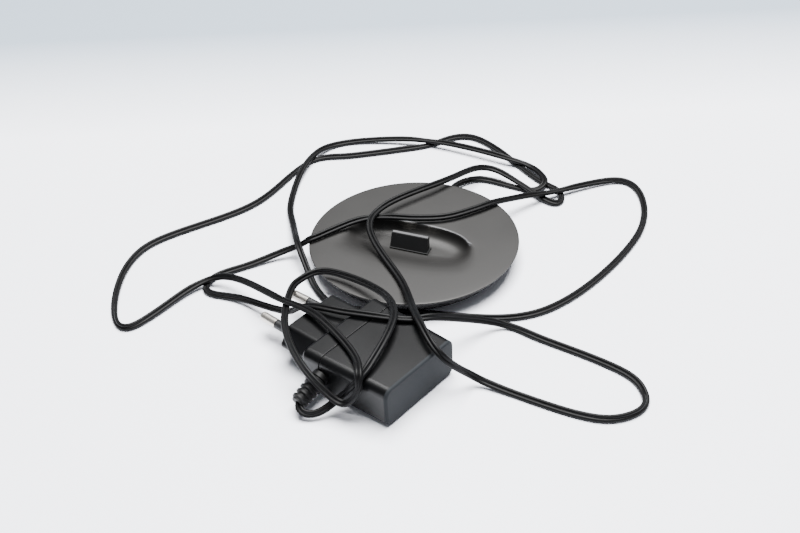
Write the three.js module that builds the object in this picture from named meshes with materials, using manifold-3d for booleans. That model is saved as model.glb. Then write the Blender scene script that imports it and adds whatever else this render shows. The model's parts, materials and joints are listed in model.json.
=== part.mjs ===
// Round charging stand for a cordless handset, with its flat twin cord and plug-in power adapter.
// Millimetres, +Z up. The origin is the middle of the stand's underside, +X runs along the long
// axis of the oval well and the cord leaves the stand at the back, on +Y.

import * as THREE from "three";
import { mergeVertices } from "three/addons/utils/BufferGeometryUtils.js";
import Module from "manifold-3d";

const wasm = await Module();
wasm.setup();

// Driving dimensions of the stand.
const STAND_RADIUS = 46;
const STAND_HEIGHT = 9.2;
const RIM_HEIGHT = 8.9;
const RIM_EDGE = 0.7;
const COVER_WALL = 1.5;
const SHELL_WALL = 1.6;
const FOOT_HEIGHT = 0.8;
const FLOOR_THICKNESS = 1;
const WELL_LENGTH = 52;
const WELL_WIDTH = 22;
const WELL_FLOOR = 3.2;
const WELL_CENTRE = -2;
const WELL_POWER = 2.5;
const CUP_WALL = 1;
const FIT_GAP = 0.3;
const GROMMET_LENGTH = 12;

// Driving dimensions of the contact tongue and the two sprung contacts behind it.
const TONGUE_WIDTH = 17;
const TONGUE_THICKNESS = 1.8;
const TONGUE_TOP = 10;
const TONGUE_Y = 1.2;
const TONGUE_LEAN = 2.8;
const CONTACT_OFFSET = 5;
const CONTACT_WIDTH = 4;
const CONTACT_GAP = 0.9;
const CONTACT_SHEET = 0.35;

// Driving dimensions of the adapter, in its own frame: +Y points along its plug pins.
const ADAPTER_PLACE = [-18.4, -66.9];
const ADAPTER_TURN = 71;
const ADAPTER_HEIGHT = 17.3;
const ADAPTER_LENGTH = 57;
const HEAD_LENGTH = 16;
const SEAM_AT = 25;
const BODY_WIDTH_FRONT = 43;
const BODY_WIDTH_END = 39;
const BODY_ROUND = 2.6;
const CASE_WALL = 1.8;
const PANEL_THICKNESS = 1.5;
const PLUG_HEIGHT = 8.65;
const HEAD_HALF_WIDTH = 17.65;
const HEAD_HALF_FLAT = 12.5;
const HEAD_HALF_HEIGHT = 6.85;
const PIN_SPACING = 18.6;
const PIN_TOE_IN = 1.6;
const PIN_RADIUS = 2;
const SLEEVE_RADIUS = 1.9;
const SLEEVE_LENGTH = 10;
const PIN_LENGTH = 19;
const BOOT_LENGTH = 13;
const BOOT_DROOP = 16;

// The flat twin cord.
const CORD_THICKNESS = 1.6;
const STEPS_PER_POINT = 2;

// The cord's way from the adapter's boot to the back of the stand: down beside the adapter, twice
// round it, out to the left, behind the stand, across it, round to the right and back again.
const ROUTE = [
  [-5.5, -107.7, 4.9],
  [-3.2, -110, 3],
  [2.5, -108, 2.2],
  [10, -100.1, 7.6],
  [15.5, -101.3, 15.6],
  [18.3, -97.7, 18.9],
  [17.3, -65.8, 20.8],
  [1, -45, 14],
  [-27.5, -37.9, 11],
  [-33.3, -46.2, 10.8],
  [-33.2, -53, 12.1],
  [-22.7, -80.2, 15.4],
  [-3, -101, 14.4],
  [12.2, -104.3, 7.2],
  [18, -103, 15],
  [17.5, -101, 20.4],
  [12.3, -91.6, 19.2],
  [-13.2, -72.4, 18.3],
  [-31.2, -65, 15.4],
  [-74.5, -47.7, 3.3],
  [-94, -88, 1],
  [-110, -70, 1],
  [-117, -37, 1],
  [-86, 12, 1],
  [-76, 58, 1],
  [-60, 67, 1],
  [-30, 86, 1],
  [-9, 103, 1],
  [37, 74, 1],
  [48, 68, 1],
  [50, 57, 1],
  [12, 71, 5.2],
  [-0.7, 44.1, 12],
  [-21.4, 2.7, 13],
  [9.3, -35.7, 11.2],
  [27.4, -65.9, 21.3],
  [41.2, -79.6, 18.4],
  [52, -71, 3.5],
  [61, -71.3, 1.3],
  [104, -74, 1],
  [115, -63, 1],
  [109, -50, 1],
  [66, -37.8, 1],
  [52.1, -35.5, 1.6],
  [29.5, -59.5, 18],
  [24, -63, 18.5],
  [-2, -67.4, 18.5],
  [-19.6, -66.6, 16.7],
  [-30, -63.6, 8.6],
  [-58, -55, 1.6],
  [-74, -55, 1],
  [-77, -47, 1],
  [-64, -30.4, 1.3],
  [-54.7, -21, 3],
  [-48.3, -17.4, 5.7],
  [-42.2, -18, 10.1],
  [-39.2, -14.1, 10.5],
  [-23.4, 5.8, 11],
  [-3.4, 11.7, 11],
  [9, 16.9, 11],
  [19.2, 27.1, 11],
  [24.8, 34.7, 10.6],
  [32.7, 47.9, 7],
  [43, 61, 3.6],
  [74, 86, 1],
  [84, 78, 1],
  [90, 45, 1],
  [63, -23, 1],
  [17, -39, 1],
  [-18, -46, 1.1],
  [-30.6, -37.6, 1],
  [-39.1, -28.5, 4.2],
  [-46.2, -20.6, 8.1],
  [-58.2, -1.8, 4],
  [-70, 19, 1],
  [-77, 58.1, 2.9],
  [-70, 76, 1],
  [-30.8, 89.8, 2.9],
  [19.3, 85.1, 3.3],
  [29.1, 84.5, 1.8],
  [40, 71, 2.8],
  [37.1, 65.6, 1.3],
  [8, 66, 1.1],
  [0, 57, 1.6],
  [0, 46.2, 2.8],
];

const FINISH = {
  cover: { color: 0x77787a, roughness: 0.42, metalness: 0.55 },
  blackPlastic: { color: 0x1b1c1e, roughness: 0.4, metalness: 0 },
  cord: { color: 0x161618, roughness: 0.45, metalness: 0 },
  nickel: { color: 0xc9c8c2, roughness: 0.25, metalness: 1 },
  steel: { color: 0x8b8d90, roughness: 0.45, metalness: 1 },
  brass: { color: 0xc2a258, roughness: 0.35, metalness: 1 },
  rubber: { color: 0x202020, roughness: 0.9, metalness: 0 },
  board: { color: 0x2c5b3a, roughness: 0.6, metalness: 0 },
  ferrite: { color: 0x3b3a3c, roughness: 0.7, metalness: 0 },
  winding: { color: 0xb98a3a, roughness: 0.5, metalness: 0.2 },
};

// ---- solids -------------------------------------------------------------------------------

function toSolid(geometry) {
  const plain = geometry.index ? geometry.toNonIndexed() : geometry.clone();
  plain.deleteAttribute("normal");
  plain.deleteAttribute("uv");
  const merged = mergeVertices(plain, 1e-4);
  const mesh = new wasm.Mesh({
    numProp: 3,
    vertProperties: merged.attributes.position.array,
    triVerts: new Uint32Array(merged.index.array),
  });
  return new wasm.Manifold(mesh);
}

function toGeometry(solid) {
  const mesh = solid.getMesh();
  const geometry = new THREE.BufferGeometry();
  geometry.setAttribute("position", new THREE.BufferAttribute(mesh.vertProperties, 3));
  geometry.setIndex(new THREE.BufferAttribute(mesh.triVerts, 1));
  geometry.computeVertexNormals();
  return geometry;
}

function cut(geometry, ...tools) {
  return toGeometry(tools.reduce((solid, tool) => solid.subtract(toSolid(tool)), toSolid(geometry)));
}

function join(geometry, ...others) {
  return toGeometry(others.reduce((solid, other) => solid.add(toSolid(other)), toSolid(geometry)));
}

// ---- plain shapes, each standing on a height z ------------------------------------------------

function box(width, depth, low, high, x = 0, y = 0) {
  return new THREE.BoxGeometry(width, depth, high - low).translate(x, y, (low + high) / 2);
}

function post(radius, low, high, x = 0, y = 0, sides = 24) {
  const shape = new THREE.CylinderGeometry(radius, radius, high - low, sides);
  return shape.rotateX(Math.PI / 2).translate(x, y, (low + high) / 2);
}

// A turned piece: the profile is a list of [radius, height] pairs that runs clockwise.
function turned(profile, segments = 72) {
  const points = profile.map(([radius, height]) => new THREE.Vector2(radius, height));
  return new THREE.LatheGeometry(points, segments).rotateX(Math.PI / 2);
}

function slab(outline, low, high) {
  const shape = new THREE.Shape(outline.map(([x, y]) => new THREE.Vector2(x, y)));
  const options = { depth: high - low, bevelEnabled: false, curveSegments: 8 };
  return new THREE.ExtrudeGeometry(shape, options).translate(0, 0, low);
}

// The oval of the well, with its ends a little squarer than an ellipse's.
function wellOutline(grow, count = 56) {
  const halfLength = WELL_LENGTH / 2 + grow;
  const halfWidth = WELL_WIDTH / 2 + grow;
  return Array.from({ length: count }, (_, i) => {
    const angle = (2 * Math.PI * i) / count;
    const along = Math.cos(angle);
    const across = Math.sin(angle);
    return [
      WELL_CENTRE + halfLength * Math.sign(along) * Math.abs(along) ** (2 / WELL_POWER),
      halfWidth * Math.sign(across) * Math.abs(across) ** (2 / WELL_POWER),
    ];
  });
}

const parts = new THREE.Group();

function addPiece(group, name, geometry, finish) {
  const mesh = new THREE.Mesh(geometry, new THREE.MeshStandardMaterial(FINISH[finish]));
  mesh.name = name;
  group.add(mesh);
  return mesh;
}

// ---- the stand ------------------------------------------------------------------------------

const SHELL_FLOOR = FOOT_HEIGHT + FLOOR_THICKNESS;
const SCREW_ANGLES = [90 + 60, 90 + 180, 90 - 60];
const SCREW_CIRCLE = 33;
const BALLAST_INNER = 30.2;
const BALLAST_OUTER = 38;

function onCircle(radius, degrees) {
  const angle = THREE.MathUtils.degToRad(degrees);
  return [radius * Math.cos(angle), radius * Math.sin(angle)];
}

function makeCover() {
  const rim = STAND_RADIUS;
  const dish = turned([
    [0, STAND_HEIGHT - COVER_WALL],
    [rim - 8, STAND_HEIGHT - COVER_WALL - 0.4],
    [rim - 1.6, RIM_HEIGHT - COVER_WALL],
    [rim - 0.2, RIM_HEIGHT - RIM_EDGE],
    [rim, RIM_HEIGHT - 0.3],
    [rim - 0.3, RIM_HEIGHT],
    [rim - 12, STAND_HEIGHT - 0.35],
    [rim - 28, STAND_HEIGHT],
    [0, STAND_HEIGHT],
  ]);
  const cup = slab(wellOutline(CUP_WALL), WELL_FLOOR - CUP_WALL, STAND_HEIGHT - 0.6);
  const hollow = slab(wellOutline(0), WELL_FLOOR, STAND_HEIGHT + 2);
  const slot = box(TONGUE_WIDTH - 2, TONGUE_THICKNESS - 0.6, 0, WELL_FLOOR + 1, WELL_CENTRE, TONGUE_Y);
  const bosses = SCREW_ANGLES.map((angle) => post(2.6, 5.3, 8, ...onCircle(SCREW_CIRCLE, angle)));
  const bores = SCREW_ANGLES.map((angle) => post(1.3, 5, 7.2, ...onCircle(SCREW_CIRCLE, angle)));
  return cut(join(dish, cup, ...bosses), hollow, slot, ...bores);
}

function makeShell() {
  const rim = STAND_RADIUS;
  const top = RIM_HEIGHT - COVER_WALL - FIT_GAP;
  const bowl = turned([
    [0, FOOT_HEIGHT],
    [rim - 7.4, FOOT_HEIGHT],
    [rim - 5.6, FOOT_HEIGHT + 0.7],
    [rim - 3.6, FOOT_HEIGHT + 3],
    [rim - 2.1, top - 0.6],
    [rim - 2.1, top],
    [rim - 2.1 - SHELL_WALL, top],
    [rim - 3.6 - SHELL_WALL, FOOT_HEIGHT + 3.4],
    [rim - 7, SHELL_FLOOR],
    [0, SHELL_FLOOR],
  ]);
  const cordGate = box(4.2, 12, SHELL_FLOOR - 0.1, SHELL_FLOOR + 2.6, 0, rim - 3);
  const spots = SCREW_ANGLES.map((angle) => onCircle(SCREW_CIRCLE, angle));
  const screwHoles = spots.map((spot) => post(1.2, 0, SHELL_FLOOR + 1, ...spot));
  return cut(bowl, cordGate, ...screwHoles);
}

function makeBallast() {
  const low = SHELL_FLOOR + 0.1;
  const high = low + 3;
  const ring = turned([
    [BALLAST_INNER, low],
    [BALLAST_OUTER, low],
    [BALLAST_OUTER, high],
    [BALLAST_INNER, high],
    [BALLAST_INNER, low],
  ]);
  const gate = box(9, 16, low - 1, high + 1, 0, BALLAST_OUTER - 4);
  const holes = SCREW_ANGLES.map((angle) => post(2, low - 1, high + 1, ...onCircle(SCREW_CIRCLE, angle)));
  return cut(ring, gate, ...holes);
}

// An outline in Y and Z, drawn out along X about its middle.
function drawnAcross(outline, width, x) {
  const shape = slab(outline, -width / 2, width / 2);
  return shape.rotateX(Math.PI / 2).rotateZ(Math.PI / 2).translate(x, 0, 0);
}

// The tongue's front leans back, so that it is thicker at its foot.
function makeTongue() {
  const back = TONGUE_Y + TONGUE_THICKNESS / 2;
  const front = TONGUE_Y - TONGUE_THICKNESS / 2;
  const low = WELL_FLOOR + 0.1;
  const outline = [[back, low], [back, TONGUE_TOP], [front, TONGUE_TOP], [front - TONGUE_LEAN, low]];
  const blade = drawnAcross(outline, TONGUE_WIDTH, WELL_CENTRE);
  const width = TONGUE_WIDTH - 2.6;
  const depth = TONGUE_THICKNESS - 1.2;
  const stem = box(width, depth, SHELL_FLOOR + 0.1, WELL_FLOOR + 1, WELL_CENTRE, TONGUE_Y);
  return join(blade, stem);
}

// A bent strip of sheet behind the tongue: it bows out in the middle of its height.
function makeContact(x) {
  const start = TONGUE_Y + TONGUE_THICKNESS / 2 + CONTACT_GAP;
  const bow = [[4.4, 0], [5, 0.15], [5.6, 0.6], [6.2, 0.9], [6.9, 0.6], [7.6, 0]];
  const back = bow.map(([z, out]) => [start + out + CONTACT_SHEET, z]);
  const front = bow.map(([z, out]) => [start + out, z]).reverse();
  return drawnAcross([...back, ...front], CONTACT_WIDTH, x);
}

function ring(radius, sides) {
  const points = Array.from({ length: sides }, (_, i) => {
    const angle = (2 * Math.PI * i) / sides;
    return new THREE.Vector2(radius * Math.cos(angle), radius * Math.sin(angle));
  });
  return new THREE.Shape(points);
}

function makeChargeBoard() {
  const low = SHELL_FLOOR + 0.2;
  const board = box(22, 10, low, low + 1, WELL_CENTRE, 20);
  const plug = box(6, 4, low + 0.9, low + 3, WELL_CENTRE + 5, 20);
  return join(board, plug);
}

function makeScrew(angle) {
  const low = FOOT_HEIGHT - 0.5;
  const profile = [
    [0, low],
    [2, low],
    [1.8, low + 0.45],
    [1, low + 0.45],
    [1, 6.7],
    [0, 6.9],
  ];
  const [x, y] = onCircle(SCREW_CIRCLE, angle);
  return turned(profile, 20).translate(x, y, 0);
}

function makeFoot(angle) {
  const [x, y] = onCircle(SCREW_CIRCLE + 1, angle);
  return post(3.6, 0, FOOT_HEIGHT - 0.05, x, y, 28);
}

// The grommet fills the gate at the back of the stand and the clamp holds the cord behind it.
function makeGrommet() {
  const middle = STAND_RADIUS - 0.3 - GROMMET_LENGTH / 2;
  return box(3.6, GROMMET_LENGTH, SHELL_FLOOR + 0.1, SHELL_FLOOR + 2.3, 0, middle);
}

function makeCordClamp() {
  return box(7, 4, SHELL_FLOOR + 0.1, SHELL_FLOOR + 2.6, 0, STAND_RADIUS - 15);
}

function buildStand() {
  const stand = new THREE.Group();
  addPiece(stand, "top_cover", makeCover(), "cover");
  addPiece(stand, "bottom_shell", makeShell(), "blackPlastic");
  addPiece(stand, "ballast_ring", makeBallast(), "steel");
  addPiece(stand, "contact_tongue", makeTongue(), "blackPlastic");
  addPiece(stand, "contact_left", makeContact(WELL_CENTRE - CONTACT_OFFSET), "nickel");
  addPiece(stand, "contact_right", makeContact(WELL_CENTRE + CONTACT_OFFSET), "nickel");
  addPiece(stand, "charge_board", makeChargeBoard(), "board");
  SCREW_ANGLES.forEach((angle, i) => {
    addPiece(stand, `case_screw_${i + 1}`, makeScrew(angle), "steel");
    addPiece(stand, `foot_${i + 1}`, makeFoot(angle + 26), "rubber");
  });
  addPiece(stand, "cord_grommet", makeGrommet(), "rubber");
  addPiece(stand, "cord_clamp", makeCordClamp(), "blackPlastic");
  return stand;
}

// ---- the adapter, made with its plug face on y = 0 and its body towards -Y ----------------------

// A block that tapers from one width to another along -Y, with rounded corners in section.
function taperedBlock(from, to, shrink, low, high) {
  const sections = [from, to].map((at) => {
    const share = (at - HEAD_LENGTH) / (ADAPTER_LENGTH - HEAD_LENGTH);
    return [at, THREE.MathUtils.lerp(BODY_WIDTH_FRONT, BODY_WIDTH_END, share) / 2 - shrink];
  });
  const round = Math.max(BODY_ROUND - shrink, 0.4);
  const corner = [];
  for (let quarter = 0; quarter < 4; quarter++) {
    for (let i = 0; i <= 4; i++) {
      const angle = (Math.PI / 2) * (quarter + i / 4);
      corner.push([Math.cos(angle), Math.sin(angle), quarter]);
    }
  }
  const rings = sections.map(([at, half]) =>
    corner.map(([c, s, quarter]) => {
      const side = quarter === 0 || quarter === 3 ? 1 : -1;
      const up = quarter < 2 ? 1 : -1;
      const x = side * (half - round) + round * c;
      const z = (up > 0 ? high - round : low + round) + round * s;
      return [x, -at, z];
    }),
  );
  return loft(rings);
}

// Joins rings of equal counts into one closed body, with flat ends.
function loft(rings) {
  const count = rings[0].length;
  const points = rings.flat();
  const faces = [];
  for (let r = 0; r + 1 < rings.length; r++) {
    for (let i = 0; i < count; i++) {
      const j = (i + 1) % count;
      const a = r * count + i;
      const b = r * count + j;
      faces.push(a, b, b + count, a, b + count, a + count);
    }
  }
  const last = (rings.length - 1) * count;
  for (let i = 1; i + 1 < count; i++) {
    faces.push(0, i + 1, i, last, last + i, last + i + 1);
  }
  const geometry = new THREE.BufferGeometry();
  geometry.setAttribute("position", new THREE.Float32BufferAttribute(points.flat(), 3));
  geometry.setIndex(faces);
  return geometry;
}

function headOutline(grow) {
  const half = HEAD_HALF_WIDTH + grow;
  const flat = HEAD_HALF_FLAT + grow * 0.5;
  const tall = HEAD_HALF_HEIGHT + grow;
  return [[half, 0], [flat, tall], [-flat, tall], [-half, 0], [-flat, -tall], [flat, -tall]];
}

function headBlock(from, to, grow) {
  const section = (at, extra) => headOutline(grow + extra).map(([x, z]) => [x, -at, PLUG_HEIGHT + z]);
  return loft([section(from, 0), section(to, 0)]);
}

const BOOT_AT = SEAM_AT + 0.4;

function bootHole(radius) {
  const hole = new THREE.CylinderGeometry(radius, radius, 12, 24);
  return hole.rotateZ(Math.PI / 2).translate(-BODY_WIDTH_FRONT / 2, -BOOT_AT, PLUG_HEIGHT);
}

function pinHoles(radius, depth) {
  return [-1, 1].map((side) => {
    const hole = new THREE.CylinderGeometry(radius, radius, 2 * depth, 24);
    return hole.translate((side * PIN_SPACING) / 2, 0, PLUG_HEIGHT);
  });
}

// The plug module: the six-sided head and the front of the body, open at the seam.
function makeFrontHousing() {
  const head = headBlock(0, HEAD_LENGTH + 2, 0);
  const body = taperedBlock(HEAD_LENGTH, SEAM_AT - FIT_GAP / 2, 0, 0, ADAPTER_HEIGHT);
  const high = ADAPTER_HEIGHT - CASE_WALL;
  const inside = taperedBlock(HEAD_LENGTH + CASE_WALL, SEAM_AT + 1, CASE_WALL, CASE_WALL, high);
  const sockets = pinHoles(PIN_RADIUS + FIT_GAP, HEAD_LENGTH - 4);
  return cut(join(head, body), inside, ...sockets, bootHole(4));
}

// The rear housing: a sleeve that the end panel closes.
function makeRearHousing() {
  const last = ADAPTER_LENGTH - PANEL_THICKNESS - FIT_GAP;
  const body = taperedBlock(SEAM_AT + FIT_GAP / 2, last, 0, 0, ADAPTER_HEIGHT);
  const inside = taperedBlock(SEAM_AT - 1, last + 1, CASE_WALL, CASE_WALL, ADAPTER_HEIGHT - CASE_WALL);
  return cut(body, inside, bootHole(4));
}

// The end panel carries a low rim that locates it inside the sleeve.
function makeEndPanel() {
  const first = ADAPTER_LENGTH - PANEL_THICKNESS;
  const inset = CASE_WALL + FIT_GAP;
  const plate = taperedBlock(first, ADAPTER_LENGTH, 0, 0, ADAPTER_HEIGHT);
  const rim = taperedBlock(first - 1.5, first + 0.5, inset, inset, ADAPTER_HEIGHT - inset);
  const hollow = taperedBlock(first - 2, first, inset + 1, inset + 1, ADAPTER_HEIGHT - inset - 1);
  return cut(join(plate, rim), hollow);
}

// A pin is turned about its own axis and toes in towards its neighbour.
function alongPin(profile, side) {
  const piece = turned(profile, 24).rotateX(-Math.PI / 2);
  piece.rotateZ(side * THREE.MathUtils.degToRad(PIN_TOE_IN));
  return piece.translate((side * PIN_SPACING) / 2, 0, PLUG_HEIGHT);
}

function makePin(side) {
  const metalStart = SLEEVE_LENGTH + 0.15;
  const profile = [
    [0, metalStart],
    [PIN_RADIUS, metalStart],
    [PIN_RADIUS, PIN_LENGTH - 1.4],
    [PIN_RADIUS * 0.75, PIN_LENGTH - 0.4],
    [PIN_RADIUS * 0.35, PIN_LENGTH],
    [0, PIN_LENGTH],
  ];
  return alongPin(profile, side);
}

function makeSleeve(side) {
  const profile = [
    [0, 0.1 - HEAD_LENGTH + 5],
    [SLEEVE_RADIUS, 0.1 - HEAD_LENGTH + 5],
    [SLEEVE_RADIUS, SLEEVE_LENGTH],
    [0, SLEEVE_LENGTH],
  ];
  return alongPin(profile, side);
}

// The ribbed boot: a flexible sleeve of rings that narrows and droops away from the case.
function makeBoot() {
  const ribs = 4;
  const start = 1.4;
  const pitch = (BOOT_LENGTH - start) / ribs;
  const profile = [[0, -4.4], [4.5, -4.4], [4.5, -3.6], [2.9, -3.6], [2.9, start]];
  for (let i = 0; i < ribs; i++) {
    const radius = 4 - 0.32 * i;
    const base = start + i * pitch;
    profile.push([radius, base], [radius, base + pitch * 0.6]);
    profile.push([radius - 1.1, base + pitch * 0.6], [radius - 1.1, base + pitch]);
  }
  profile.push([0, start + ribs * pitch]);
  const boot = turned(profile, 24).rotateY(-Math.PI / 2 - THREE.MathUtils.degToRad(BOOT_DROOP));
  return boot.translate(-BODY_WIDTH_FRONT / 2 + 0.2, -BOOT_AT, PLUG_HEIGHT);
}

function buildAdapter() {
  const adapter = new THREE.Group();
  adapter.position.set(ADAPTER_PLACE[0], ADAPTER_PLACE[1], 0);
  adapter.rotation.z = THREE.MathUtils.degToRad(ADAPTER_TURN);
  addPiece(adapter, "adapter_front_housing", makeFrontHousing(), "blackPlastic");
  addPiece(adapter, "adapter_rear_housing", makeRearHousing(), "blackPlastic");
  addPiece(adapter, "adapter_end_panel", makeEndPanel(), "blackPlastic");
  [-1, 1].forEach((side, i) => {
    const name = ["left", "right"][i];
    addPiece(adapter, `plug_pin_${name}`, makePin(side), "nickel");
    addPiece(adapter, `pin_sleeve_${name}`, makeSleeve(side), "blackPlastic");
  });
  addPiece(adapter, "cord_boot", makeBoot(), "rubber");
  addPiece(adapter, "adapter_board", box(30, 20, 3, 4.4, 0, -42), "board");
  addPiece(adapter, "transformer_bobbin", post(5.4, 4.8, 13.6, -4, -40, 32), "winding");
  const core = cut(box(17, 15, 4.7, 14.6, -4, -40), post(5.8, 4.7 + FIT_GAP - 1, 13.9, -4, -40, 32));
  addPiece(adapter, "transformer_core", core, "ferrite");
  addPiece(adapter, "input_capacitor", post(4, 4.7, 14.4, 10, -35, 24), "blackPlastic");
  addPiece(adapter, "output_capacitor", post(3.2, 4.7, 13, 10, -46, 24), "blackPlastic");
  return adapter;
}

// ---- the cord ---------------------------------------------------------------------------------

function buildCord() {
  const points = ROUTE.map(([x, y, z]) => new THREE.Vector3(x, y, z));
  const path = new THREE.CatmullRomCurve3(points, false, "centripetal");
  path.getUtoTmapping = (u) => u; // steps follow the points, which lie closer in the bends
  const steps = STEPS_PER_POINT * (ROUTE.length - 1);
  const options = { steps, bevelEnabled: false, extrudePath: path };
  return new THREE.ExtrudeGeometry(ring(CORD_THICKNESS / 2, 8), options);
}

parts.add(buildStand());
parts.add(buildAdapter());
addPiece(parts, "cord", buildCord(), "cord");

export default parts;
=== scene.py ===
import json
from math import cos, pi, radians, sin
import bpy
import bmesh
import numpy as np
from mathutils import Matrix, Vector

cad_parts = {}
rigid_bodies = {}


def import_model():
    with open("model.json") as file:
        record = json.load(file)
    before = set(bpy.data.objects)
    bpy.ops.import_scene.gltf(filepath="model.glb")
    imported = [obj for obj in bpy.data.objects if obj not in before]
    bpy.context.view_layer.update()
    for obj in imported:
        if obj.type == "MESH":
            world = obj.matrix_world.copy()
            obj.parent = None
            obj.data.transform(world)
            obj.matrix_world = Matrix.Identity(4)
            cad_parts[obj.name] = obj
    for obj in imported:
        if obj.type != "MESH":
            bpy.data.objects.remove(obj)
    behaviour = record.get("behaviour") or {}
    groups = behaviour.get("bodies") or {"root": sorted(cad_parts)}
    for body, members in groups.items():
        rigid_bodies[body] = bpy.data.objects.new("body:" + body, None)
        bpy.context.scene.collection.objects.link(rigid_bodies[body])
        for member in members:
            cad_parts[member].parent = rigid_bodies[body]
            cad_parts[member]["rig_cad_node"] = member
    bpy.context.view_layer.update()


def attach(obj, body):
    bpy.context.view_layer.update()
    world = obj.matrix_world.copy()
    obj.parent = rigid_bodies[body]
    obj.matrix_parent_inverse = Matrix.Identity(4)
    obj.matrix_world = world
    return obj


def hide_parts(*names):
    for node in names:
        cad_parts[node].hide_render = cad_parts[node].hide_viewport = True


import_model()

scene = bpy.context.scene
mm = 0.001

# camera
view = {"at": (0.1492, -0.3684, 0.2908), "turn": 23, "tilt": 53.24, "roll": -2.6, "lens": 50}
camera = bpy.data.objects.new("camera", bpy.data.cameras.new("camera"))
scene.collection.objects.link(camera)
camera.data.lens = view["lens"]
camera.data.sensor_width = 36
camera.data.clip_start = 0.01
turns = [Matrix.Rotation(radians(view[k]), 4, a) for k, a in (("turn", "Z"), ("tilt", "X"), ("roll", "Z"))]
camera.matrix_world = Matrix.Translation(view["at"]) @ turns[0] @ turns[1] @ turns[2]
scene.camera = camera
print("camera set")


# materials
def linear(value):
    return tuple(v ** 2.2 for v in value)


def addNode(tree, kind, **inputs):
    node = tree.nodes.new(kind)
    for name, value in inputs.items():
        node.inputs[name.replace("_", " ")].default_value = value
    return node


def makeMaterial(name, tone, rough=0.4, metal=0.0, shine=0.5, grain=1800, mottle=0.06, scale=90, bump=0.0):
    made = bpy.data.materials.new(name)
    made.use_nodes = True
    tree = made.node_tree
    shader = tree.nodes["Principled BSDF"]
    shader.inputs["Metallic"].default_value = metal
    shader.inputs["Specular IOR Level"].default_value = shine
    place = tree.nodes.new("ShaderNodeTexCoord")
    noise = addNode(tree, "ShaderNodeTexNoise", Scale=scale, Detail=5.0)
    tree.links.new(place.outputs["Object"], noise.inputs["Vector"])
    ramp = tree.nodes.new("ShaderNodeValToRGB")
    low, high = ramp.color_ramp.elements
    low.position, high.position = 0.3, 0.7
    low.color = (*linear([v * (1 - mottle) for v in tone]), 1)
    high.color = (*linear([min(v * (1 + mottle), 1) for v in tone]), 1)
    tree.links.new(noise.outputs["Fac"], ramp.inputs["Fac"])
    tree.links.new(ramp.outputs["Color"], shader.inputs["Base Color"])
    spread = addNode(tree, "ShaderNodeMapRange", To_Min=rough * 0.88, To_Max=min(rough * 1.12, 1))
    tree.links.new(noise.outputs["Fac"], spread.inputs["Value"])
    tree.links.new(spread.outputs["Result"], shader.inputs["Roughness"])
    if bump:
        fine = addNode(tree, "ShaderNodeTexNoise", Scale=grain, Detail=2.0)
        tree.links.new(place.outputs["Object"], fine.inputs["Vector"])
        relief = addNode(tree, "ShaderNodeBump", Strength=bump, Distance=0.0001)
        tree.links.new(fine.outputs["Fac"], relief.inputs["Height"])
        tree.links.new(relief.outputs["Normal"], shader.inputs["Normal"])
    return made


paint = {
    "cover": makeMaterial("coverPaint", (0.16, 0.157, 0.154), 0.5, 0.5, 0.5, 2600, 0.02, 40, 0.1),
    "darkShell": makeMaterial("darkShell", (0.1, 0.1, 0.105), 0.5, shine=0.35, bump=0.1),
    # the paler rim material is a painted highlight on the well's lip
    "paintedRimHighlight": makeMaterial("paintedRimHighlight", (0.27, 0.27, 0.275), 0.35, 0.5),
    "tongue": makeMaterial("tonguePlastic", (0.1, 0.1, 0.103), 0.5, shine=0.2, bump=0.05),
    # the tongue's lighter top strip is a painted highlight
    "edge": makeMaterial("tongueTopHighlight", (0.28, 0.28, 0.285), 0.45),
    "caseBlack": makeMaterial("caseBlack", (0.04, 0.041, 0.046), 0.34, shine=0.2, mottle=0.05,
                              scale=60, bump=0.04),
    "endGrey": makeMaterial("endGrey", (0.148, 0.156, 0.165), 0.6, shine=0.08, bump=0.05),
    "cord": makeMaterial("cordSheath", (0.042, 0.042, 0.046), 0.5, shine=0.13, mottle=0.12,
                         scale=220, bump=0.05),
    "rubber": makeMaterial("bootRubber", (0.045, 0.045, 0.048), 0.55, shine=0.18, mottle=0.1, bump=0.12),
    "nickel": makeMaterial("nickelPin", (0.8, 0.78, 0.75), 0.3, 1.0, mottle=0.03, scale=300),
    "steel": makeMaterial("zincSteel", (0.62, 0.62, 0.64), 0.4, 1.0, scale=200, bump=0.1),
    "board": makeMaterial("boardGreen", (0.13, 0.34, 0.2), 0.45, scale=200),
    "copper": makeMaterial("windingCopper", (0.7, 0.42, 0.2), 0.35, 0.8, scale=400, bump=0.2),
    "ferrite": makeMaterial("ferriteCore", (0.22, 0.21, 0.22), 0.6, bump=0.2),
}
print("materials made")


# mesh helpers: all lists are in millimetres
def addObject(name, verts, faces, finish, place=None, smooth=True, sharp=32):
    mesh = bpy.data.meshes.new(name)
    mesh.from_pydata([tuple(c * mm for c in v) for v in verts], [], faces)
    if place is not None:
        mesh.transform(place)
    work = bmesh.new()
    work.from_mesh(mesh)
    bmesh.ops.remove_doubles(work, verts=work.verts, dist=1e-7)
    bmesh.ops.recalc_face_normals(work, faces=work.faces)
    for face in work.faces:
        face.smooth = smooth
    for edge in work.edges:
        if len(edge.link_faces) == 2 and edge.calc_face_angle(0) > radians(sharp):
            edge.smooth = False
    work.to_mesh(mesh)
    work.free()
    made = bpy.data.objects.new(name, mesh)
    scene.collection.objects.link(made)
    made.data.materials.append(paint[finish])
    even = made.modifiers.new("evenNormals", "WEIGHTED_NORMAL")
    even.keep_sharp = True
    return made


def ringFaces(rows, count, first=0, closed=True):
    faces = []
    for r in range(rows - 1):
        for i in range(count if closed else count - 1):
            a, b = first + r * count + i, first + r * count + (i + 1) % count
            faces.append((a, b, b + count, a + count))
    return faces


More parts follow.
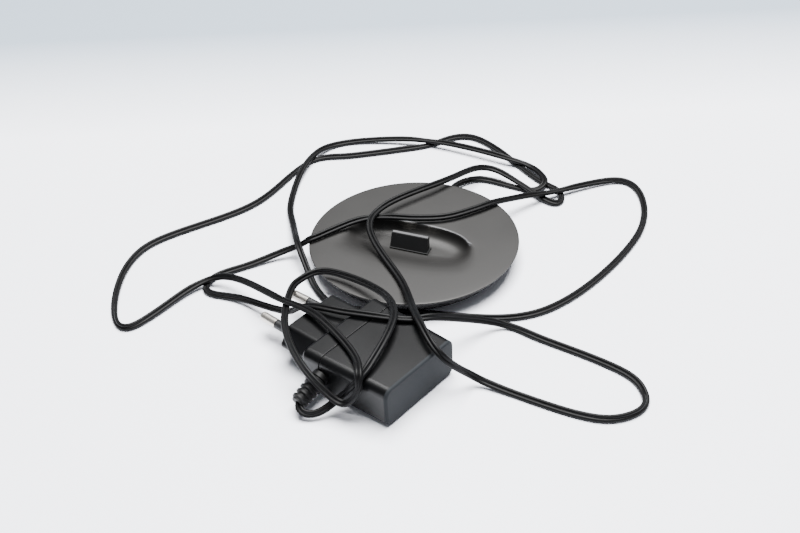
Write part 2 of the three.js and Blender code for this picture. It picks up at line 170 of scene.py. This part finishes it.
def loftRings(name, rings, finish, place=None, caps=True, sharp=32):
    count = len(rings[0])
    verts = [p for ring in rings for p in ring]
    faces = ringFaces(len(rings), count)
    if caps:
        faces.append(tuple(range(count)))
        faces.append(tuple(range(len(verts) - count, len(verts))))
    return addObject(name, verts, faces, finish, place, sharp=sharp)


def turn(name, profile, finish, place=None, count=96, sharp=32):
    rings = [[(max(r, 0.001) * cos(2 * pi * i / count), max(r, 0.001) * sin(2 * pi * i / count), z)
              for i in range(count)] for r, z in profile]
    return loftRings(name, rings, finish, place, sharp=sharp)


def roundBox(name, low, high, radius, finish, place=None, segments=3):
    work = bmesh.new()
    bmesh.ops.create_cube(work, size=1)
    for v in work.verts:
        v.co = [(low[k] + high[k]) / 2 + v.co[k] * (high[k] - low[k]) for k in range(3)]
    bmesh.ops.bevel(work, geom=work.edges[:], offset=radius, segments=segments, affect="EDGES", profile=0.5)
    verts = [tuple(v.co) for v in work.verts]
    faces = [tuple(v.index for v in f.verts) for f in work.faces]
    work.free()
    return addObject(name, verts, faces, finish, place)


def onBody(made, body, *nodes):
    if nodes:
        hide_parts(*nodes)
    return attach(made, body)


# cord
lead = {
    "width": 3.1, "thick": 1.6, "ridge": 0.8, "step": 1.2,
    "inBoot": [(-4.1, -103.5, 6.2), (-5.3, -107, 5.1)],
    "sight": (-0.375, 0.927, 0), "onEdge": 32, "bendLean": 34, "wobble": 9, "wobbleRun": 23,
    "clearFrom": 3.2, "clearOver": 3, "floorGap": 0.05,
    "route": [
    (-5.5, -107.7, 4.9), (-3.2, -110, 3), (2.5, -108, 2.2), (10, -100.1, 7.6),
    (15.5, -101.3, 15.6), (18.3, -97.7, 18.9), (17.3, -65.8, 20.8), (1, -45, 14),
    (-27.5, -37.9, 11), (-33.3, -46.2, 10.8), (-33.2, -53, 12.1), (-22.7, -80.2, 15.4),
    (-3, -101, 14.4), (12.2, -104.3, 7.2), (18, -103, 15), (17.5, -101, 20.4),
    (12.3, -91.6, 19.2), (-13.2, -72.4, 18.3), (-31.2, -65, 15.4), (-74.5, -47.7, 3.3),
    (-94, -88, 1), (-110, -70, 1), (-117, -37, 1), (-86, 12, 1), (-76, 58, 1), (-60, 67, 1),
    (-30, 86, 1), (-9, 103, 1), (37, 74, 1), (48, 68, 1), (50, 57, 1), (12, 71, 5.2),
    (-0.7, 44.1, 12), (-21.4, 2.7, 13), (9.3, -35.7, 11.2), (27.4, -65.9, 21.3),
    (41.2, -79.6, 18.4), (52, -71, 3.5), (61, -71.3, 1.3), (104, -74, 1), (115, -63, 1),
    (109, -50, 1), (66, -37.8, 1), (52.1, -35.5, 1.6), (29.5, -59.5, 18), (24, -63, 18.5),
    (-2, -67.4, 18.5), (-19.6, -66.6, 16.7), (-30, -63.6, 8.6), (-58, -55, 1.6), (-74, -55, 1),
    (-77, -47, 1), (-64, -30.4, 1.3), (-54.7, -21, 3), (-48.3, -17.4, 5.7), (-42.2, -18, 10.1),
    (-39.2, -14.1, 10.5), (-23.4, 5.8, 11), (-3.4, 11.7, 11), (9, 16.9, 11), (19.2, 27.1, 11),
    (24.8, 34.7, 10.6), (32.7, 47.9, 7), (43, 61, 3.6), (74, 86, 1), (84, 78, 1), (90, 45, 1),
    (63, -23, 1), (17, -39, 1), (-18, -46, 1.1), (-30.6, -37.6, 1), (-39.1, -28.5, 4.2),
    (-46.2, -20.6, 8.1), (-58.2, -1.8, 4), (-70, 19, 1), (-77, 58.1, 2.9), (-70, 76, 1),
    (-30.8, 89.8, 2.9), (19.3, 85.1, 3.3), (29.1, 84.5, 1.8), (40, 71, 2.8), (37.1, 65.6, 1.3),
    (8, 66, 1.1), (0, 57, 1.6), (0, 46.2, 2.8),
    ],
}


def smoothLine(points, step):
    points = [np.array(p, float) for p in points]
    points = [2 * points[0] - points[1], *points, 2 * points[-1] - points[-2]]
    line = []
    for a, b, c, d in zip(points, points[1:], points[2:], points[3:]):
        gaps = [max(np.linalg.norm(q - p) ** 0.5, 1e-3) for p, q in ((a, b), (b, c), (c, d))]
        start = ((b - a) / gaps[0] - (c - a) / (gaps[0] + gaps[1]) + (c - b) / gaps[1]) * gaps[1]
        end = ((c - b) / gaps[1] - (d - b) / (gaps[1] + gaps[2]) + (d - c) / gaps[2]) * gaps[1]
        count = max(int(np.linalg.norm(c - b) / step), 2)
        for k in range(count):
            t = k / count
            line.append((2 * b - 2 * c + start + end) * t ** 3 + (3 * c - 3 * b - 2 * start - end) * t ** 2
                        + start * t + b)
    line.append(points[-2])
    return np.array(line)


def evenLine(line, step):
    run = np.concatenate([[0], np.cumsum(np.linalg.norm(np.diff(line, axis=0), axis=1))])
    marks = np.linspace(0, run[-1], int(run[-1] / step) + 1)
    return np.stack([np.interp(marks, run, line[:, k]) for k in range(3)], axis=1), marks


def blur(values, reach, passes=2):
    kernel = np.ones(reach) / reach
    for _ in range(passes):
        padded = np.concatenate([np.repeat(values[:1], reach, 0), values, np.repeat(values[-1:], reach, 0)])
        values = np.convolve(padded, kernel, "same")[reach:-reach]
    return values


line, marks = evenLine(smoothLine(lead["inBoot"] + lead["route"], 0.6), lead["step"])
line = np.stack([blur(line[:, 0], 5), blur(line[:, 1], 5), line[:, 2]], axis=1)
line, marks = evenLine(line, lead["step"])
along = np.gradient(line, axis=0)
along /= np.linalg.norm(along, axis=1)[:, None]
bend = np.linalg.norm(np.gradient(along, axis=0), axis=1) / lead["step"]
side = np.cross(np.array([0, 0, 1.0]), along)
strength = np.linalg.norm(side, axis=1)
for k in range(1, len(side)):
    if strength[k] < 0.35:
        side[k] = side[k - 1] - along[k] * np.dot(side[k - 1], along[k])
    side[k] /= np.linalg.norm(side[k])
side[0] = side[1]
side = np.stack([blur(side[:, k], 9) for k in range(3)], axis=1)
side -= along * (side * along).sum(1)[:, None]
side /= np.linalg.norm(side, axis=1)[:, None]
# the flat lead stands half on edge, more so in its tight bends, and lies flat where strands cross
far = np.linalg.norm(line[:, None] - line[None], axis=2)
apart = np.abs(marks[:, None] - marks[None])
near = np.where(apart > 8, far, 99).min(1)
free = np.clip((blur(near, 5) - lead["clearFrom"]) / lead["clearOver"], 0, 1)
facing = np.tanh(2.5 * (side @ np.array(lead["sight"])))
lean = (radians(lead["onEdge"]) + np.clip(blur(bend, 9) * 14, 0, 1) * radians(lead["bendLean"])) * facing
lean = lean + np.sin(marks / lead["wobbleRun"]) * radians(lead["wobble"])
lean = blur(lean * free, 7)
rise = (lead["width"] - lead["thick"]) / 2 * np.abs(np.sin(lean))
line[:, 2] = blur(np.maximum(line[:, 2] + rise, lead["thick"] / 2 + rise + lead["floorGap"]), 3, 1)
over = np.cross(along, side)
across = side * np.cos(lean)[:, None] + over * np.sin(lean)[:, None]
flat = np.cross(along, across)
outline = []
for centre, first in ((0.75, -150), (-0.75, 30)):
    for k in range(13):
        angle = radians(first + k * 25)
        outline.append((centre + lead["ridge"] * cos(angle), lead["ridge"] * sin(angle)))
rings = [[tuple(line[i] + across[i] * u + flat[i] * v) for u, v in outline] for i in range(len(line))]
cordMesh = loftRings("cordLead", rings, "cord", sharp=70)
onBody(cordMesh, "stand", "cord")
print("cord laid", round(marks[-1]), "mm")

# stand: top cover with its oval well
cover = {
    "radius": 46, "rim": 8.9, "top": 9.2, "under": 7.4, "well": (26, 11), "centre": -2,
    # the last three keys bound the painted highlight on the well's lip
    "floor": 3.2, "power": 2.5, "count": 192, "highlightFrom": -2, "highlightTo": 14, "highlightHalf": 27,
}


def ovalPoint(angle, grow):
    a, b = cover["well"][0] + grow, cover["well"][1] + grow
    c, s = cos(angle), sin(angle)
    p = 2 / cover["power"]
    return cover["centre"] + a * np.sign(c) * abs(c) ** p, b * np.sign(s) * abs(s) ** p


# the well's wall is a short curve at the back and a longer, softer one in front
wall = {
    "back": [(-6.2, 0), (-4.4, 0.04), (-2.9, 0.11), (-1.6, 0.23), (-0.65, 0.42), (-0.15, 0.66), (0, 0.88),
             (0.2, 0.968), (0.85, 1)],
    "front": [(-8, 0), (-6.1, 0.04), (-4.1, 0.12), (-2, 0.26), (0.2, 0.46), (2.5, 0.67), (5, 0.85),
              (8, 0.965), (11.5, 1)],
}


def coverRing(row, toRim=0.0, scale=1.0, drop=0.0):
    ring = []
    for i in range(cover["count"]):
        angle = 2 * pi * i / cover["count"]
        share = min(max(0.35 - sin(angle), 0), 1)
        (g0, h0), (g1, h1) = wall["back"][row], wall["front"][row]
        x, y = ovalPoint(angle, g0 + (g1 - g0) * share)
        x, y = cover["centre"] + (x - cover["centre"]) * scale, y * scale
        z = cover["floor"] + (cover["top"] - cover["floor"]) * (h0 + (h1 - h0) * share) - drop
        rx, ry = cover["radius"] * cos(angle), cover["radius"] * sin(angle)
        ring.append((x + (rx - x) * toRim, y + (ry - y) * toRim, z))
    return ring


def underRing(grow, z, scale=1.0):
    points = [ovalPoint(2 * pi * i / cover["count"], grow) for i in range(cover["count"])]
    return [(cover["centre"] + (x - cover["centre"]) * scale, y * scale, z) for x, y in points]


def diskRing(radius, z):
    return [(radius * cos(2 * pi * i / cover["count"]), radius * sin(2 * pi * i / cover["count"]), z)
            for i in range(cover["count"])]


rim = cover["rim"]
rings = [coverRing(0, scale=s) for s in (0.02, 0.4, 0.8)] + [coverRing(row) for row in range(9)]
rings += [coverRing(8, toRim=t, drop=0.3 * t * t) for t in (0.15, 0.3, 0.5, 0.7, 0.85)]
rings += [diskRing(44.6, rim + 0.02), diskRing(45.6, rim)]
rings += [diskRing(45.9, rim - 0.12), diskRing(46, rim - 0.4)]
rings += [diskRing(45.85, rim - 0.75), diskRing(45.2, rim - 1.1)]
rings += [diskRing(43.9, cover["under"]), diskRing(30, cover["under"])]
rings += [underRing(3.5, 6.8), underRing(1.2, 2.6), underRing(-1, 2.3), underRing(0, 2.3, 0.02)]
topCover = onBody(loftRings("topCover", rings, "cover", sharp=38), "stand", "top_cover")
topCover.data.materials.append(paint["paintedRimHighlight"])  # painted highlight: a paler strip along the rounded lip of the well
# faces on the rounded lip at the back of the well take the paler material as a painted highlight
for face in topCover.data.polygons:
    x, y, z = (c / mm for c in face.center)
    inReach = cover["highlightFrom"] < y < cover["highlightTo"] and abs(x - cover["centre"]) < cover["highlightHalf"]
    onLip = cover["top"] - 0.5 < z < cover["top"] - 0.02 and face.normal.z > 0.3
    if inReach and onLip:
        face.material_index = 1

# stand: dark lower shell, feet, screws, grommet
shell = {"profile": [(0, 0.8), (38.2, 0.8), (39.4, 0.95), (40.6, 1.7), (42, 3.2), (43.2, 5.2), (43.9, 7.2),
                     (42.3, 7.2), (41.6, 5), (40, 3), (38.6, 1.8), (0, 1.8)]}
onBody(turn("lowerShell", shell["profile"], "darkShell", count=160), "stand", "bottom_shell")
grommet = {"low": (-1.8, 33.7, 1.9), "high": (1.8, 45.7, 4.1)}
onBody(roundBox("cordGrommet", grommet["low"], grommet["high"], 0.5, "rubber"), "stand", "cord_grommet")
print("stand built")

# contact tongue with a lighter band along its top as a painted highlight, and the two bowed contacts behind
# it
tongue = {
    "left": -10.5, "right": 6.5,
    "edge": [(2.1, 3.3), (2.1, 9.75), (1.85, 10), (0.5, 10), (0.25, 9.8), (-2.3, 3.9), (-2.5, 3.3)],
}
rings = [[(x, y, z) for y, z in tongue["edge"]] for x in (tongue["left"], tongue["right"])]
onBody(loftRings("contactTongue", rings, "tongue", sharp=25), "stand", "contact_tongue")
onBody(roundBox("tongueFlange", (-10.7, -2.7, 3.22), (7.2, 2.7, 3.9), 0.2, "tongue"), "stand")
# a thin strip of paler material painted on the tongue's top as its highlight
onBody(roundBox("tongueTopHighlight", (-10.2, 0.55, 9.9), (6.2, 1.85, 10.06), 0.07, "edge"), "stand")
contact = {"x": (-7, 3), "half": 2, "bow": [(4.4, 0), (4.7, 0.05), (5.1, 0.3), (5.6, 0.65), (6.0, 0.85),
                                            (6.4, 0.85), (6.9, 0.6), (7.3, 0.3), (7.6, 0)], "sheet": 0.3}
for x, word in zip(contact["x"], ("left", "right")):
    rings = []
    for end in (-1, 1):
        back = [(x + end * contact["half"], 3.0 + out + contact["sheet"], z) for z, out in contact["bow"]]
        front = [(x + end * contact["half"], 3.0 + out, z) for z, out in reversed(contact["bow"])]
        rings.append(back + front)
    onBody(loftRings(f"contact{word.title()}", rings, "nickel"), f"{word}_contact", f"contact_{word}")
print("contacts built")

# adapter, made along +Y like its pins and then set down beside the stand
adapter = {
    "at": (-18.4, -66.9, 0), "turn": 71, "height": 17.3, "head": 16, "seam": 25, "length": 57,
    "front": 21.5, "end": 19.5, "round": 3.6,
}
setDown = Matrix.Translation([c * mm for c in adapter["at"]])
setDown = setDown @ Matrix.Rotation(radians(adapter["turn"]), 4, "Z")


def bodyRing(at, inset=0.0, extra=0.0):
    share = (at - adapter["head"]) / (adapter["length"] - adapter["head"])
    half = adapter["front"] + (adapter["end"] - adapter["front"]) * share - inset
    low, high, r = inset, adapter["height"] - inset, max(adapter["round"] + extra - inset, 0.5)
    ring = []
    for quarter, (cx, cz) in enumerate(((1, 1), (-1, 1), (-1, -1), (1, -1))):
        for k in range(9):
            angle = pi / 2 * (quarter + k / 8)
            ring.append((cx * (half - r) + r * cos(angle),
                         -at, (high - r if cz > 0 else low + r) + r * sin(angle)))
    return ring


def rounded(first, last, edge):
    steps = ((0, 1.0), (0.12, 0.6), (0.35, 0.3), (0.65, 0.08), (1, 0))
    start, stop = [bodyRing(first)], [bodyRing(last)]
    if edge[0]:
        start = [bodyRing(first + a * edge[0], b * edge[0]) for a, b in steps]
    if edge[1]:
        stop = [bodyRing(last - a * edge[1], b * edge[1]) for a, b in reversed(steps)]
    return start + stop


seam = adapter["seam"]
frontRings = rounded(adapter["head"], seam - 0.2, (1.6, 0.25))
front = loftRings("adapterFront", frontRings, "caseBlack", setDown, sharp=50)
onBody(front, "stand", "adapter_front_housing")
rear = loftRings("adapterRear", rounded(seam + 0.2, 55.7, (0.25, 0)), "caseBlack", setDown, sharp=50)
onBody(rear, "stand", "adapter_rear_housing")
panel = loftRings("adapterEnd", rounded(55.72, adapter["length"], (0, 0.9)), "endGrey", setDown, sharp=50)
onBody(panel, "stand", "adapter_end_panel")
strip = [bodyRing(seam - 0.3, 0.35), bodyRing(seam + 0.3, 0.35)]
onBody(loftRings("seamStrip", strip, "cord", setDown), "stand")


head = {"half": 17.65, "flat": 12.5, "tall": 6.85, "middle": 8.65, "corner": 1.3}


def headRing(at, inset):
    half, flatPart, tall = head["half"] - inset * 1.1, head["flat"] - inset * 0.6, head["tall"] - inset
    corners = [(half, 0), (flatPart, tall), (-flatPart, tall)]
    corners += [(-half, 0), (-flatPart, -tall), (flatPart, -tall)]
    ring = []
    for k, here in enumerate(corners):
        before, after = Vector(corners[k - 1]), Vector(corners[(k + 1) % 6])
        here = Vector(here)
        a = here + (before - here).normalized() * head["corner"]
        b = here + (after - here).normalized() * head["corner"]
        for t in (0, 0.25, 0.5, 0.75, 1):
            p = a * (1 - t) ** 2 + here * 2 * t * (1 - t) + b * t ** 2
            ring.append((p.x, -at, head["middle"] + p.y))
    return ring


headRings = [headRing(at, inset) for at, inset in ((0, 0.8), (0.15, 0.35), (0.5, 0.08), (0.9, 0), (16.4, 0))]
onBody(loftRings("plugHead", headRings, "caseBlack", setDown, sharp=28), "stand")
pin = {
    "x": 9.3, "z": 8.65, "toe": 1.6,
    "sleeve": [(0, -2), (1.9, -2), (1.9, 9.8), (1.8, 10), (0, 10)],
    "metal": [(0, 10.1), (2, 10.1), (2, 17.6), (1.9, 18.1), (1.6, 18.6), (1.1, 18.9), (0.5, 19), (0, 19)],
}
for sign, word in ((-1, "left"), (1, "right")):
    place = setDown @ Matrix.Translation((sign * pin["x"] * mm, 0, pin["z"] * mm))
    place = place @ Matrix.Rotation(radians(sign * pin["toe"]), 4, "Z") @ Matrix.Rotation(-pi / 2, 4, "X")
    sleeve = turn(f"sleeve{word.title()}", pin["sleeve"], "darkShell", place, 40)
    onBody(sleeve, "stand", f"pin_sleeve_{word}")
    onBody(turn(f"pin{word.title()}", pin["metal"], "nickel", place, 40), "stand", f"plug_pin_{word}")

boot = {"at": (-21.3, -25.4, 8.65), "droop": 16, "ribs": 5, "length": 13, "start": 1.4}
place = setDown @ Matrix.Translation([c * mm for c in boot["at"]])
place = place @ Matrix.Rotation(-pi / 2 - radians(boot["droop"]), 4, "Y")
profile = [(0, -1), (3.6, -1), (3.6, 1.0), (3.0, boot["start"])]
pitch = (boot["length"] - boot["start"]) / boot["ribs"]
for k in range(boot["ribs"]):
    r, z = 3.9 - 0.1 * k, boot["start"] + k * pitch
    profile += [(r - 0.35, z), (r, z + 0.3), (r, z + pitch * 0.5), (r - 0.35, z + pitch * 0.62),
                (r - 0.75, z + pitch * 0.72), (r - 0.8, z + pitch)]
profile += [(0, boot["length"])]
onBody(turn("cordBoot", profile, "rubber", place, 48), "stand", "cord_boot")
print("adapter built")

# plain inner pieces keep their shapes
inner = {
    "ballast_ring": "steel", "charge_board": "board", "cord_clamp": "darkShell", "adapter_board": "board",
    "transformer_bobbin": "copper", "transformer_core": "ferrite", "input_capacitor": "darkShell",
    "output_capacitor": "darkShell",
}
for k in (1, 2, 3):
    inner[f"case_screw_{k}"] = "steel"
    inner[f"foot_{k}"] = "rubber"
for obj in list(scene.objects):
    node = obj.get("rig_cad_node")
    if node in inner:
        obj.data.materials.clear()
        obj.data.materials.append(paint[inner[node]])

# table, with painted shade: cooler and darker toward its far side
top = {
    "half": 3000, "tone": (0.955, 0.962, 0.99), "farShadeTone": (0.3, 0.36, 0.43, 1),
    "fade": (0.12, 0.24), "turn": -23,
}
half = top["half"]
floorPlane = addObject("tableTop", [(-half, -half, 0), (half, -half, 0), (half, half, 0), (-half, half, 0)],
                       [(0, 1, 2, 3)], "cover")
table = makeMaterial("tableWhite", top["tone"], 0.5, mottle=0.004, scale=3)
tree = table.node_tree
place = tree.nodes.new("ShaderNodeTexCoord")
apart = tree.nodes.new("ShaderNodeSeparateXYZ")
fade = addNode(tree, "ShaderNodeMapRange", From_Min=top["fade"][0], From_Max=top["fade"][1])
turned = addNode(tree, "ShaderNodeVectorRotate", Angle=radians(top["turn"]))
# the far tone is mixed into the table colour as painted shade
tint = tree.nodes.new("ShaderNodeMix")
tint.data_type = "RGBA"
tint.inputs["B"].default_value = top["farShadeTone"]
shader = tree.nodes["Principled BSDF"]
plain = shader.inputs["Base Color"].links[0].from_socket
tree.links.new(place.outputs["Object"], turned.inputs["Vector"])
tree.links.new(turned.outputs["Vector"], apart.inputs["Vector"])
tree.links.new(apart.outputs["Y"], fade.inputs["Value"])
tree.links.new(fade.outputs["Result"], tint.inputs["Factor"])
tree.links.new(plain, tint.inputs["A"])
tree.links.new(tint.outputs["Result"], shader.inputs["Base Color"])
floorPlane.data.materials[0] = table

# light
room = {"tone": (0.92, 0.95, 1.0, 1), "strength": 0.29}
world = bpy.data.worlds.new("softRoom")
scene.world = world
world.use_nodes = True
world.node_tree.nodes["Background"].inputs["Color"].default_value = room["tone"]
world.node_tree.nodes["Background"].inputs["Strength"].default_value = room["strength"]
lamp = {"at": (0.0, 0.25, 1.3), "size": 1.0, "power": 108, "aim": (0, -0.02, 0)}
light = bpy.data.lights.new("skyLamp", "AREA")
light.size = lamp["size"]
light.energy = lamp["power"]
holder = bpy.data.objects.new("skyLamp", light)
scene.collection.objects.link(holder)
holder.location = lamp["at"]
aim = Vector(lamp["aim"]) - Vector(lamp["at"])
holder.rotation_euler = aim.to_track_quat("-Z", "Y").to_euler()
print("light set")
